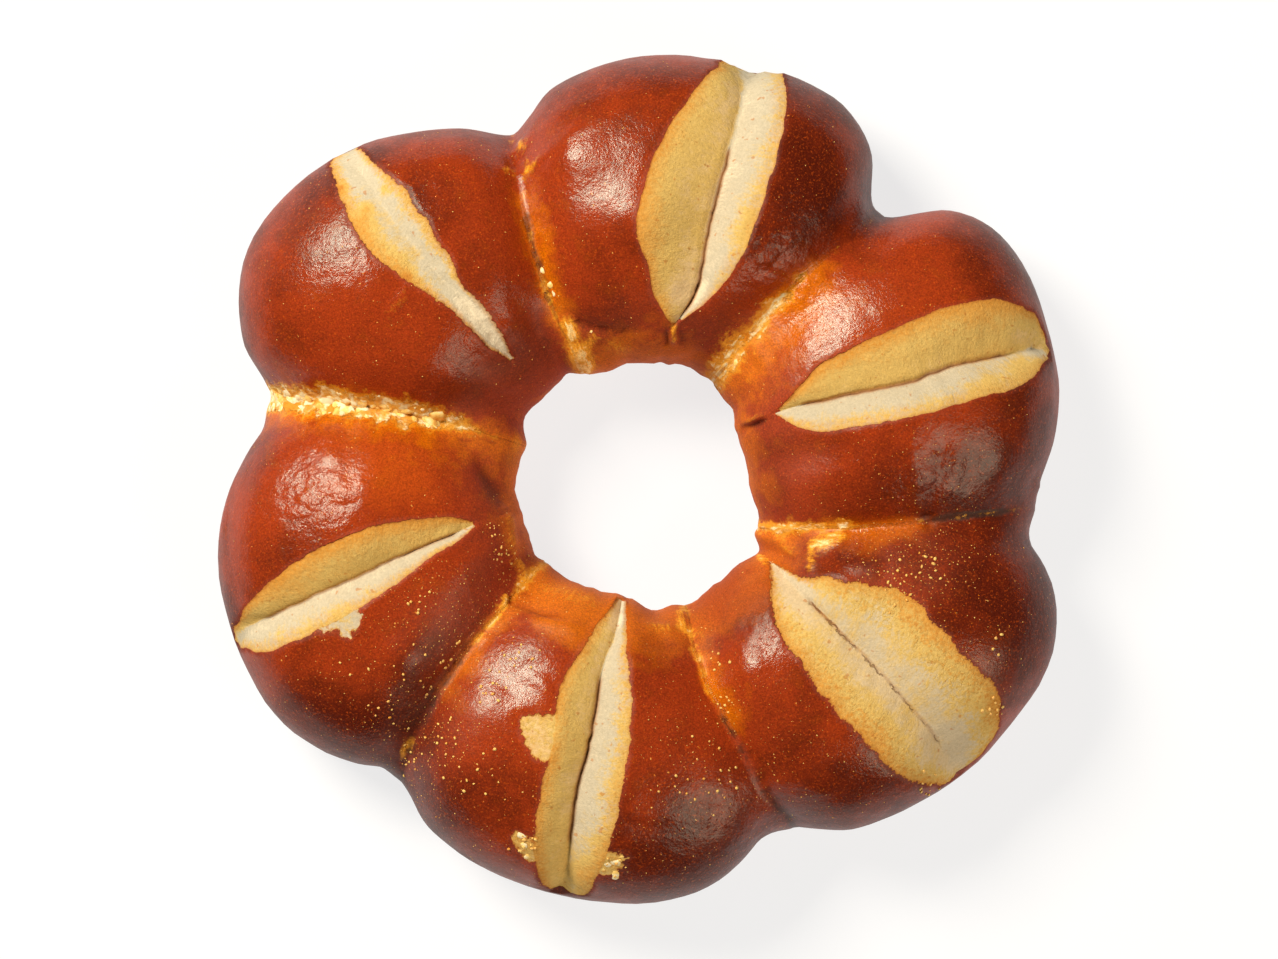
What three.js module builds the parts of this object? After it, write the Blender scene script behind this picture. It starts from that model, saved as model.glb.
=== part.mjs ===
// Soft pretzel ring: six lye rolls proved side by side, each scored once from the hole
// to the rim, and baked together as one loaf.
// Millimetres, +Z up. The origin is the middle of the ring, on the face it rests on.

import * as THREE from "three";

// The section of the ring is measured outwards from a circle that runs inside the dough.
const coreRadius = 66;
const coreHeight = 16;
const farthestReach = 70;

// A roll is widest at its belly, and closes above and below it.
const bellyShare = 0.36; // height of the belly, of the roll's height
const undersideShare = 1.6; // how far down the lower half would close, of the belly's height
const planPower = 2.5; // squareness of a roll seen from above
const domePower = 2.3; // squareness of its dome
const baseRounding = 3; // round between the wall and the flat base

const valleyWidth = 13; // how far from a seam a roll starts to drop towards it
const webWidth = 24; // how far from a seam the dough fills the corners of the hole
const grooveDepth = 2.2; // of the narrow groove along a seam
const grooveWidth = 3;

const scoreFullness = 1.5; // above 1, the two sides of a score swell like pillows
const lipLift = 0.5; // the crust's edge stands up beside a score
const lipLiftWidth = 3;
const leastHalfWidth = 2; // spacing of the lip lines where no score runs
const stations = [0, 0.1, 0.2, 0.3, 0.5, 0.7, 0.9, 1]; // places along a score

// The mesh: columns run from one seam to the next, rows run round the section.
const columnsToLip = 6; // from a seam to a lip
const columnsToCrease = 4; // from a lip to the crease
const rowsShown = 30; // over the top, from wall to wall
const rowsUnder = 8; // under the base
const baseEdge = THREE.MathUtils.degToRad(-26); // where the walls meet the base

// Each roll, counterclockwise from +X. angle and reach place its middle; outward, inward
// and across are its half sizes; taper narrows it outwards; lean skews it. A score runs
// from its tip by the hole to its end at the rim, and overhang is its run down the wall.
// bow, left and right are offsets at the stations, looking outwards.
const rolls = [
  {
    angle: 15.6, reach: 67.5, outward: 41.2, inward: 41.4, across: 45.5,
    taper: -0.074, lean: 0.251, height: 45,
    score: {
      tip: [33, 16.1], end: [101.2, 33.6], overhang: 5, depthShare: 0.62,
      bow: [0, 0.4, -0.1, -0.3, -0.2, 0.8, 0.4, 0],
      left: [0, 4.3, 8.8, 11.2, 14.3, 14.9, 14.3, 9.6],
      right: [0, 5.8, 7.8, 8.5, 9.3, 10.3, 8.2, 3.9],
    },
  },
  {
    angle: 81.6, reach: 67.9, outward: 38.6, inward: 38.4, across: 48.1,
    taper: -0.025, lean: -0.158, height: 47,
    score: {
      tip: [9, 37.9], end: [28, 102.4], overhang: 20, depthShare: 0.6,
      bow: [0, -1.6, -2.1, -2, -1.2, 0.3, 0.8, 1.1],
      left: [0, 9.6, 14.2, 16.7, 17.8, 14.7, 9.1, 6.4],
      right: [0, 4.1, 6.4, 8.6, 11, 12.6, 11.9, 10],
    },
  },
  {
    angle: 138, reach: 73.5, outward: 39.3, inward: 38.9, across: 48.5,
    taper: -0.306, lean: 0.207, height: 46,
    score: {
      tip: [-29.9, 28.4], end: [-72.2, 80.1], overhang: 14, depthShare: 0.42,
      bow: [0, -0.4, -0.7, -0.8, 0.9, 0.3, -0.8, -0.5],
      left: [0, 1.4, 2, 3.6, 8, 10.4, 7.7, 5.5],
      right: [0, 1.3, 1.8, 2.4, 5, 6.2, 4.9, 3.9],
    },
  },
  {
    angle: 200.2, reach: 69.8, outward: 38.4, inward: 38.5, across: 50.5,
    taper: -0.22, lean: 0.084, height: 45,
    score: {
      tip: [-39.2, -10.6], end: [-100.5, -38.6], overhang: 9, depthShare: 0.62,
      bow: [0, 0, -0.3, -0.4, 0, -0.4, -0.4, -0.5],
      left: [0, 1.3, 2.6, 3.3, 6.1, 8.2, 7.7, 4.7],
      right: [0, 4.1, 6.3, 8.2, 11.1, 10.7, 6.7, 2.2],
    },
  },
  {
    angle: 257.5, reach: 66.3, outward: 38.9, inward: 37.1, across: 52.2,
    taper: -0.133, lean: 0.101, height: 47,
    score: {
      tip: [-3.9, -29.6], end: [-17, -102.6], overhang: 6, depthShare: 0.66,
      bow: [0, -0.3, -2.1, -2, -2.1, -3.1, -2, -1.5],
      left: [1, 2.1, 6.2, 8, 10.5, 11.9, 9, 6.3],
      right: [1, 4.6, 5.8, 8.1, 9.4, 9.5, 9.2, 5.7],
    },
  },
  {
    angle: 317.5, reach: 68.6, outward: 41.5, inward: 34.7, across: 54.3,
    taper: -0.165, lean: 0.32, height: 46,
    score: {
      tip: [31.5, -19.2], end: [81, -73.1], overhang: 6, depthShare: 0.34,
      bow: [0, -0.1, 0.9, 1.1, 1.1, 0.8, 0.5, 0.5],
      left: [0, 2.4, 8.4, 13.1, 18.7, 19, 17.5, 11],
      right: [0, 3.6, 9.2, 11.6, 13.3, 13.3, 11.2, 7.6],
    },
  },
];

// Seam k joins roll k to the next one. It runs from the wall of the hole to the notch in
// the rim; bow is how far its middle lies to the left, and height is its valley's.
const seams = [
  { inner: [17.1, 22.7], outer: [60, 72.2], bow: -2.2, height: 36 },
  { inner: [-12.9, 24.6], outer: [-31.5, 87], bow: 1, height: 38 },
  { inner: [-26.4, 7.5], outer: [-94.3, 20.4], bow: -1.8, height: 34 },
  { inner: [-21.8, -19.3], outer: [-61.6, -76.3], bow: -0.3, height: 36 },
  { inner: [11.2, -29], outer: [37.8, -89.1], bow: -2.6, height: 38 },
  { inner: [28, -12.1], outer: [101.3, -6.5], bow: 4.8, height: 37 },
];

const turn = 2 * Math.PI;
const { clamp, degToRad, lerp } = THREE.MathUtils;
const power = (x, n) => Math.pow(Math.abs(x), n);
const distanceOf = ([x, y]) => Math.hypot(x, y);

// A line from the hole outwards, as the angle that it has at each distance from the axis.
function lineOut(from, to, near, bow = 0) {
  const [start, stop] = [from, to].map(distanceOf);
  const [first, last] = [from, to].map(([x, y]) => {
    const angle = Math.atan2(y, x);
    return angle + turn * Math.round((near - angle) / turn);
  });
  return (radius) => {
    const share = clamp((radius - start) / (stop - start), -0.1, 1.05);
    return lerp(first, last, share) + (4 * share * (1 - share) * bow) / radius;
  };
}

// A smooth curve through values at the stations.
function alongScore(values, share) {
  const t = clamp(share, 0, 1);
  const k = Math.min(stations.findLastIndex((s) => s <= t), stations.length - 2);
  const local = (t - stations[k]) / (stations[k + 1] - stations[k]);
  const eased = local * local * (3 - 2 * local);
  return lerp(values[k], values[k + 1], (local + eased) / 2);
}

// A dome over a plan that is 0 in its middle and 1 at its edge: below 1 inside the dough.
function domeFill(plan, height, z) {
  const belly = bellyShare * height;
  const half = z > belly ? height - belly : undersideShare * belly;
  return power(plan, domePower) + power((z - belly) / half, domePower);
}

function rollFill(roll, x, y, z) {
  const [c, s] = [Math.cos(degToRad(roll.angle)), Math.sin(degToRad(roll.angle))];
  const u = x * c + y * s - roll.reach;
  const v = y * c - x * s - roll.lean * u;
  const along = u / (u > 0 ? roll.outward : roll.inward);
  const across = v / (roll.across * (1 + (roll.taper * u) / 40));
  const plan = power(power(along, planPower) + power(across, planPower), 1 / planPower);
  return domeFill(plan, roll.height, z);
}

// The section of the dough on a seam.
function seamFill(seam, radius, z) {
  const [inner, outer] = [seam.inner, seam.outer].map(distanceOf);
  const middle = (inner + outer) / 2;
  return domeFill((radius - middle) / (outer - middle), seam.height, z);
}

// How far a ray from the core circle, at a slope phi, runs before it leaves the dough.
function reachOf(fill, phi) {
  let [inside, outside] = [0, farthestReach];
  for (let halving = 0; halving < 26; halving++) {
    const middle = (inside + outside) / 2;
    const radius = coreRadius + middle * Math.cos(phi);
    const filled = fill(radius, coreHeight + middle * Math.sin(phi)) < 1;
    [inside, outside] = filled ? [middle, outside] : [inside, middle];
  }
  return inside;
}

const rollReach = (roll, theta, phi) =>
  reachOf((r, z) => rollFill(roll, r * Math.cos(theta), r * Math.sin(theta), z), phi);

const seamReach = (seam, phi) => reachOf((r, z) => seamFill(seam, r, z), phi);

// A flat base cuts every ray that points down, with a round where it meets the wall.
function restOnBase(reach, phi) {
  if (Math.sin(phi) > -0.05) return reach;
  const flat = coreHeight / -Math.sin(phi);
  const overlap = Math.max(baseRounding - Math.abs(reach - flat), 0) / baseRounding;
  return Math.min(reach, flat) - (overlap * overlap * baseRounding) / 4;
}

// The rows' slopes round the section, from the foot of the outer wall over the top.
const rows = rowsShown + rowsUnder;
const shownSweep = Math.PI - 2 * baseEdge;
function rowSlope(j) {
  if (j <= rowsShown) return baseEdge + (shownSweep * j) / rowsShown;
  return baseEdge + shownSweep + ((turn - shownSweep) * (j - rowsShown)) / rowsUnder;
}

// Distance from the axis along the crease of a roll, row by row. Below the belly it goes
// on as the length of the wall, so that a score can run down there.
function distancesAlong(roll, crease) {
  const distances = [];
  let lower = null;
  for (let j = rowsShown; j >= 0; j--) {
    const phi = rowSlope(j);
    const reach = rollReach(roll, crease(coreRadius), phi);
    const point = [coreRadius + reach * Math.cos(phi), coreHeight + reach * Math.sin(phi)];
    const outwards = lower ? point[0] - lower[0] : 0;
    const onWall = lower && phi < Math.PI / 8;
    const step = onWall ? Math.hypot(outwards, point[1] - lower[1]) : outwards;
    distances[j] = lower ? distances[j + 1] + step : point[0];
    lower = point;
  }
  return distances;
}

// How far a score reaches on each side of its crease, at a distance from the axis.
function scoreAt(score, distance) {
  const [start, stop] = [score.tip, score.end].map(distanceOf);
  const share = (distance - start) / (stop - start);
  const past = clamp((distance - stop) / score.overhang, 0, 1);
  const closing = share < 0 ? 0 : Math.sqrt(1 - past * past);
  return {
    bow: alongScore(score.bow, share),
    left: alongScore(score.left, share) * closing,
    right: alongScore(score.right, share) * closing,
  };
}

// How much lower a score makes the surface, at a distance across from its crease.
function scoreDepth(score, cut, across) {
  const half = across > 0 ? cut.left : cut.right;
  if (half < 0.1) return 0;
  const beyond = Math.abs(across) - half;
  if (beyond > 0) return -lipLift * Math.exp(-beyond / lipLiftWidth);
  const deepest = (score.depthShare * (cut.left + cut.right)) / 2;
  return deepest * Math.pow(-beyond / half, scoreFullness);
}

// What each roll needs: its two seams, and its lines from the hole outwards.
const columnsPerRoll = 2 * (columnsToLip + columnsToCrease);
const halfRoll = Math.PI / rolls.length;
const places = rolls.map((roll, k) => {
  const middle = degToRad(roll.angle);
  const [seamBefore, seamAfter] = [seams.at(k - 1), seams[k]];
  const lineOf = (seam, near) => lineOut(seam.inner, seam.outer, near, seam.bow);
  const crease = lineOut(roll.score.tip, roll.score.end, middle);
  return {
    roll,
    crease,
    seams: [seamBefore, seamAfter],
    before: lineOf(seamBefore, middle - halfRoll),
    after: lineOf(seamAfter, middle + halfRoll),
    distances: distancesAlong(roll, crease),
  };
});

// The angle of a column at a distance from the axis: columns lie on the seams, on the
// score's lips and on its crease, and are spread evenly between those.
function columnAngle(place, column, cut, radius) {
  const crease = place.crease(radius) + cut.bow / radius;
  const lines = [
    [0, place.before(radius)],
    [columnsToLip, crease - Math.max(cut.right, leastHalfWidth) / radius],
    [columnsPerRoll / 2, crease],
    [columnsPerRoll - columnsToLip, crease + Math.max(cut.left, leastHalfWidth) / radius],
    [columnsPerRoll, place.after(radius)],
  ];
  const k = lines.findLastIndex(([first]) => first <= column);
  const share = (column - lines[k][0]) / (lines[k + 1][0] - lines[k][0]);
  return [lerp(lines[k][1], lines[k + 1][1], share), crease];
}

// How far the surface lies from the core circle, at an angle round the ring.
function surfaceReach(place, theta, crease, cut, radius, phi) {
  let reach = rollReach(place.roll, theta, phi);
  const toSeams = [theta - place.before(radius), place.after(radius) - theta];
  place.seams.forEach((seam, side) => {
    const difference = seamReach(seam, phi) - reach;
    const width = difference > 0 ? webWidth : valleyWidth;
    reach += difference * Math.pow(Math.max(1 - (toSeams[side] * radius) / width, 0), 2);
  });
  reach = restOnBase(reach, phi);
  reach -= grooveDepth * Math.exp((-Math.min(...toSeams) * radius) / grooveWidth);
  return reach - scoreDepth(place.roll.score, cut, (theta - crease) * radius);
}

// The point of the surface on a column and a row. The column's angle depends on the
// distance from the axis that comes out of it, so the two are worked out in turns.
function surfacePoint(column, row) {
  const place = places[Math.floor(column / columnsPerRoll)];
  const phi = rowSlope(row);
  const cut = scoreAt(place.roll.score, place.distances[row] ?? 0);
  let [radius, theta, crease, reach] = [coreRadius, 0, 0, 0];
  for (let pass = 0; pass < 4; pass++) {
    [theta, crease] = columnAngle(place, column % columnsPerRoll, cut, radius);
    reach = surfaceReach(place, theta, crease, cut, radius, phi);
    radius = coreRadius + reach * Math.cos(phi);
  }
  const z = Math.max(coreHeight + reach * Math.sin(phi), 0);
  return [radius * Math.cos(theta), radius * Math.sin(theta), z];
}

// A torus whose every point is moved to its place on the loaf.
function loafGeometry() {
  const columns = rolls.length * columnsPerRoll;
  const geometry = new THREE.TorusGeometry(coreRadius, coreHeight, rows, columns);
  const position = geometry.getAttribute("position");
  for (let row = 0; row <= rows; row++)
    for (let column = 0; column <= columns; column++) {
      const point = surfacePoint(column % columns, row % rows);
      position.setXYZ(row * (columns + 1) + column, ...point);
    }
  geometry.computeVertexNormals();
  return geometry;
}

const crust = new THREE.MeshStandardMaterial({
  color: new THREE.Color("#8c3413"),
  roughness: 0.35,
  metalness: 0,
});

const loaf = new THREE.Mesh(loafGeometry(), crust);
loaf.name = "pretzel_ring";

const group = new THREE.Group();
group.add(loaf);

export default group;
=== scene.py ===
import bpy
import math
import numpy as np
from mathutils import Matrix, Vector, noise


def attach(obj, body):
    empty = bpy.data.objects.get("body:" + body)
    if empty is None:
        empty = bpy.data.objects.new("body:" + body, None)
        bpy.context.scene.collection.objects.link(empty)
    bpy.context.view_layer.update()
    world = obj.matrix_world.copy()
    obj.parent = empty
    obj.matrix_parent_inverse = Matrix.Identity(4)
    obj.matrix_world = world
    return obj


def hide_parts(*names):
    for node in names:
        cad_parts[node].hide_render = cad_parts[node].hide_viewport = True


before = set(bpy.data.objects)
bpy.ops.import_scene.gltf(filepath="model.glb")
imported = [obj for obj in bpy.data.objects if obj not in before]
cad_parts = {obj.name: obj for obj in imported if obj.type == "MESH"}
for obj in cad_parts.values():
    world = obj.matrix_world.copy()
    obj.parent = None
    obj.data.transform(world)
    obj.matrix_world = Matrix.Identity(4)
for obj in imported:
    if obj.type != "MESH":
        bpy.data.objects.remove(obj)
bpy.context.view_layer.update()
mm = 0.001
print("frame loaded")

# camera, floor and light, in metres
studio = {
    "viewWidth": 0.3195, "lens": 180, "sensor": 36, "bellyHeight": 0.016, "aside": 0.00025,
    # place, size, power and tint
    "keyLight": ((-0.87, 0.81, 1.2), 0.62, 45, (1, 0.93, 0.82)),
    "fillLight": ((0.85, -0.72, 0.85), 0.8, 10, (1, 0.87, 0.73)),
    "floorSize": 3, "floorHeight": -0.0002, "air": (0.05, 0.05, 0.05, 1),
    "floorFinish": {
        "Base Color": (0.2, 0.2, 0.2, 1), "Roughness": 0.9, "Specular IOR Level": 0,
        "Emission Color": (1, 1, 1, 1), "Emission Strength": 0.78,
    },
}


def placeCamera():
    away = studio["viewWidth"] * studio["lens"] / studio["sensor"]
    bpy.ops.object.camera_add(location=(studio["aside"], 0, studio["bellyHeight"] + away))
    camera = bpy.context.object
    camera.data.lens = studio["lens"]
    camera.data.sensor_width = studio["sensor"]
    bpy.context.scene.camera = camera


def addSoftbox(name):
    place, size, power, tint = studio[name]
    towardsLoaf = Vector((0, 0, 0.02)) - Vector(place)
    turn = towardsLoaf.to_track_quat("-Z", "Y").to_euler()
    bpy.ops.object.light_add(type="AREA", location=place, rotation=turn)
    light = bpy.context.object
    light.name = name
    light.data.shape = "SQUARE"
    light.data.size = size
    light.data.energy = power
    light.data.color = tint


def layFloor():
    bpy.ops.mesh.primitive_plane_add(size=studio["floorSize"], location=(0, 0, studio["floorHeight"]))
    floor = bpy.context.object
    floor.name = "paleFloor"
    material = bpy.data.materials.new("palePaper")
    material.use_nodes = True
    shader = material.node_tree.nodes["Principled BSDF"]
    for socket, value in studio["floorFinish"].items():
        shader.inputs[socket].default_value = value
    floor.data.materials.append(material)


def fillAir():
    world = bpy.data.worlds.new("studioAir")
    world.use_nodes = True
    world.node_tree.nodes["Background"].inputs["Color"].default_value = studio["air"]
    bpy.context.scene.world = world
    bpy.context.scene.view_settings.view_transform = "Standard"


placeCamera()
addSoftbox("keyLight")
addSoftbox("fillLight")
layFloor()
fillAir()
print("studio set")

# the loaf's sizes, in millimetres, its grid of columns and rows, and the unevenness of its skin
dough = {
    "coreRadius": 66, "coreHeight": 16, "farthestReach": 70,
    "bellyShare": 0.36, "undersideShare": 1.6, "planPower": 2.5, "domePower": 2.3,
    "baseRounding": 3, "valleyWidth": 13, "webWidth": 20,
    "grooveDepth": 1.3, "grooveWidth": 3, "slitDepth": 1.5, "slitWidth": 0.65,
    "lipLift": 0.12, "webRounding": 5, "lipLiftWidth": 3, "leastHalfWidth": 2,
    "taperLength": 40, "seamWander": 0.4, "overLift": 0.7, "overWidth": 5,
}
grid = {
    "toLip": 37, "toCrease": 30, "shown": 116, "under": 8, "halvings": 24, "settlings": 4,
    "baseEdge": math.radians(-26), "crowding": 0.35, "flank": 0.6,
}
skin = {
    "peelAbove": 12, "tearAbove": 14, "lipStep": 0.32,
    # heights over the table and distances from the ring's axis between which each one fades in
    "reliefRises": (1.5, 8), "foldsRise": (14, 20), "websRise": (6, 16),
    "seamsClose": (30, 42), "seamsWander": (28, 40), "websBegin": (37, 28), "gathersBegin": (84, 48),
    # height, size and seed
    "swelling": (0.35, 17, 21), "dimples": (0.16, 7, 22), "puckers": (0.45, 1, 51),
    "scoreWall": (0.22, 2.4, 31), "tornCrumb": (0.7, 3.0, 41), "tornGrain": (0.15, 1.3, 43),
    "tornStrands": (0.45, 1, 44), "peelEdge": (1.3, 3.4, 5), "tearEdge": (1.5, 3.2, 11),
}
outsideAll = -9.0  # a depth inside an edge that is outside it everywhere

# where along a score and along a seam their widths and drifts are given
stations = [0, 0.1, 0.2, 0.3, 0.5, 0.7, 0.9, 1]
seamStations = [0, 0.25, 0.5, 0.7, 0.85, 1]

# where the dough is drawn back from the hole: angle, spread and depth
bays = [
    (8, 6, 1.1), (54, 7, 1.9), (68, 9, 1.3), (103, 5, -1.1), (123, 6.5, 3.5), (134, 6, 0.9),
    (153, 9, 2.5), (168, 6, 1.2), (216, 7, 2.5), (226, 4, 0.8), (277, 6, 1.6), (293, 8, 2.3),
    (329, 6, 3.1), (340, 5, 1.2),
]

# angle, reach: where the roll lies; outward, inward, across: its half lengths and half width
rolls = [
    {"angle": 15.6, "reach": 67.5, "outward": 41.2, "inward": 41.4, "across": 45.5, "taper": -0.074,
     "lean": 0.251, "height": 45, "paleUntil": 36},
    {"angle": 81.6, "reach": 67.9, "outward": 38.6, "inward": 38.4, "across": 48.1, "taper": -0.025,
     "lean": -0.158, "height": 47, "paleUntil": 41},
    {"angle": 138, "reach": 73.5, "outward": 39.3, "inward": 38.9, "across": 48.5, "taper": -0.306,
     "lean": 0.207, "height": 46, "paleUntil": 34},
    {"angle": 200.2, "reach": 69.8, "outward": 38.4, "inward": 38.5, "across": 50.5, "taper": -0.22,
     "lean": 0.084, "height": 45, "paleUntil": 40},
    {"angle": 257.5, "reach": 66.3, "outward": 38.9, "inward": 37.1, "across": 52.2, "taper": -0.133,
     "lean": 0.101, "height": 47, "paleUntil": 49},
    {"angle": 317.5, "reach": 68.6, "outward": 41.5, "inward": 34.7, "across": 54.3, "taper": -0.165,
     "lean": 0.32, "height": 46, "paleUntil": 49},
]

# one score on each roll, from its tip by the hole to its end by the rim
# bow: how far its crease drifts; left, right: its half widths; overlap: one wall over the other
# toast: how browned the left and the right wall are, which also paints shade on the wall turned away from
# the key light
# crack: where along the score it starts and stops, its depth and its width
scores = [
    {"tip": (33, 16.1), "end": (101.2, 33.6), "overhang": 5, "depthShare": 0.55,
     "bow": [0, -0.6, -1.6, -2.2, -3, -1.5, -1.1, -0.6],
     "left": [0, 3.7, 8.5, 10.7, 13.5, 14.5, 13.8, 9.2], "right": [0, 6.3, 7.6, 8.3, 8.5, 9.3, 7.7, 3.7],
     "power": 1.8, "overlap": 0.8, "toastAndPaintedShade": (0.86, 0.2), "ragged": 0.3, "crack": (0.05, 0.9, 0.25, 0.6)},
    {"tip": (9, 37.9), "end": (28, 102.4), "overhang": 20, "depthShare": 0.5,
     "bow": [0, -2.8, -2.7, -2, -1.6, -1.4, -0.7, 0.6],
     "left": [0, 9.7, 12.5, 16.4, 18.2, 16.4, 11.3, 7.4],
     "right": [0, 3.2, 6.5, 9.3, 11.1, 11.6, 10.6, 9.2], "power": 1.7, "overlap": 1,
     "toastAndPaintedShade": (0.66, 0.15), "ragged": 0.25, "crack": (0, 0.72, 0.35, 0.6)},
    {"tip": (-29.9, 28.4), "end": (-72.2, 80.1), "overhang": 14, "depthShare": 0.3,
     "bow": [0, 0.2, -0.3, -0.8, -0.3, 0, -0.5, -0.5], "left": [0, 2, 2.7, 3.6, 7.2, 9.3, 7.6, 5.5],
     "right": [0, 2.3, 3, 2.8, 5.4, 6.6, 4.9, 3.9], "power": 1.6, "overlap": -0.1, "toastAndPaintedShade": (0.42, 0.3),
     "ragged": 0.7, "crack": (0.36, 0.6, 0.08, 0.35)},
    {"tip": (-39.2, -10.6), "end": (-100.5, -38.6), "overhang": 9, "depthShare": 0.58,
     "bow": [0, 0.7, 0.7, 0.8, 1.3, 0.9, 0.3, -0.2], "left": [0, 2.2, 3.3, 5.1, 7.2, 8.2, 7.4, 4.6],
     "right": [0, 4.3, 6.6, 8.2, 10.3, 9.3, 5.3, 1.8], "power": 1.8, "overlap": -0.7, "toastAndPaintedShade": (0.18, 1),
     "ragged": 0.3, "crack": (0.04, 0.88, 0.2, 0.6)},
    {"tip": (-3.9, -29.6), "end": (-17, -102.6), "overhang": 6, "depthShare": 0.6,
     "bow": [0, -0.4, -2.2, -2.3, -2.4, -3.3, -2.3, -1.6], "left": [1, 2.3, 6.2, 8.2, 10, 11.1, 8.6, 6.3],
     "right": [1, 4.7, 6, 9, 8.9, 8.6, 8.2, 5.4], "power": 1.8, "overlap": -0.9, "toastAndPaintedShade": (0.22, 0.68),
     "ragged": 0.5, "crack": (0.2, 0.86, 0.35, 0.6)},
    {"tip": (31.5, -19.2), "end": (81, -73.1), "overhang": 6, "depthShare": 0.22,
     "stations": [0, 0.08, 0.15, 0.22, 0.3, 0.37, 0.45, 0.52, 0.68, 0.82, 0.9, 1],
     "bow": [0, -0.9, -1.8, -1.9, -2.1, -2.2, -2.2, -2.1, -1.8, -1.4, -1.2, -0.8],
     "left": [0, 1.7, 4.6, 8.3, 11.6, 14.2, 18.4, 18.9, 18.6, 19.9, 20.4, 16],
     "right": [0, 4.3, 8.1, 10.3, 11.7, 12.8, 14, 14.3, 13.7, 13.2, 11.2, 7], "power": 2.6, "overlap": 0,
     "toastAndPaintedShade": (0.5, 0.54), "ragged": 1, "crack": (0.16, 0.88, 1.2, 0.3)},
]

# bow: how far the seam drifts; tearAt, tear: half widths of the torn crumb, at distances from the axis
# glow: reach of the paler crust on the roll before and the roll after, and where it ends
# over: how far the roll after lies over the roll before
# lumpy: how crumbly the tear is
# crease: the distances between which the seam is a narrow crease painted dark as shadow, past the rim where
# it has none
seams = [
    {"inner": (17.1, 22.7), "outer": (59.9, 67.5), "height": 36, "bow": [0, 0.3, 0.9, 0.1, -1.1, 0],
     "tearAt": [28, 36, 46, 58, 68], "tear": [2.8, 2.7, 2.3, 1.5, -1.6], "glow": (13, 2.5, 72), "over": 0,
     "lumpy": 0.25, "crease": (150, 160)},
    {"inner": (-12.9, 24.6), "outer": (-31.5, 87), "height": 38, "bow": [0, 0.7, 1, 0.8, 0.5, 0],
     "tearAt": [28, 36, 46, 54, 62], "tear": [1.6, 0.7, 0.2, 0.1, -1.2], "glow": (5, 2, 78), "over": -0.4,
     "lumpy": 0.08, "crease": (47, 72)},
    {"inner": (-26.4, 7.5), "outer": (-92.7, 20), "height": 34, "bow": [0, -1.3, -1.8, -1.5, -0.9, 0],
     "tearAt": [34, 42, 52, 62, 98], "tear": [-1.2, 1, 2.8, 3.4, 4], "glow": (3, 8, 110), "over": -0.6,
     "lumpy": 1, "crease": (150, 160)},
    {"inner": (-21.8, -19.3), "outer": (-59.6, -76.3), "height": 36,
     "bow": [0, -0.8, -1.5, -1.9, -1.6, 0], "tearAt": [28, 34, 44, 52, 60],
     "tear": [0.8, 1, 0.5, -1.2, -3], "glow": (1.2, 5, 74), "over": 0.4, "lumpy": 0.1,
     "crease": (56, 100)},
    {"inner": (11.2, -29), "outer": (39.6, -87), "height": 38, "bow": [0, -3, -3.2, -2.1, -1.6, 0],
     "tearAt": [28, 38, 48, 56, 64], "tear": [0.2, 0.5, 0.2, -0.6, -3], "glow": (1, 4.5, 68), "over": 0.3,
     "lumpy": 0.05, "crease": (60, 100)},
    {"inner": (28, -12.1), "outer": (99.9, -6.4), "height": 37, "bow": [0, 3.6, 4.8, 4, 2.4, 0],
     "tearAt": [30, 38, 46, 54, 62], "tear": [1.3, 1.5, 0.9, 0.2, -1.5], "glow": (6, 1.6, 76),
     "over": 0.9, "lumpy": 0.05, "crease": (74, 92)},
]

# broad swells and hollows of the dough: x, y, radius and height
swells = [
    (1.1, 63.2, 10.6, 2.6), (39.4, 50.2, 7.1, 1.3), (-16.9, 80.4, 5.6, 1.4), (66.9, 15.9, 11.4, 2),
    (79.7, 4.1, 5.9, -1.6), (51.9, 53.9, 13.9, 1.6), (-66, 47.5, 7, 1.3), (-35.2, 27.9, 5.8, -1.5),
    (-33.1, 17.4, 8.2, 1.9), (-56, -44.8, 5.7, 2.1), (-68.8, -16, 10.1, 1.8), (-66.8, -2.1, 6.6, 1.5),
    (25.4, -76.6, 12.2, 1.5), (-32.9, -47.7, 7.3, -2.4), (19.5, -81.3, 5.6, -1), (32.2, -39.2, 5.9, -1),
    (47.6, -26.5, 6, 1.1), (26, -45.2, 5.9, 0.9),
]
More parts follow.
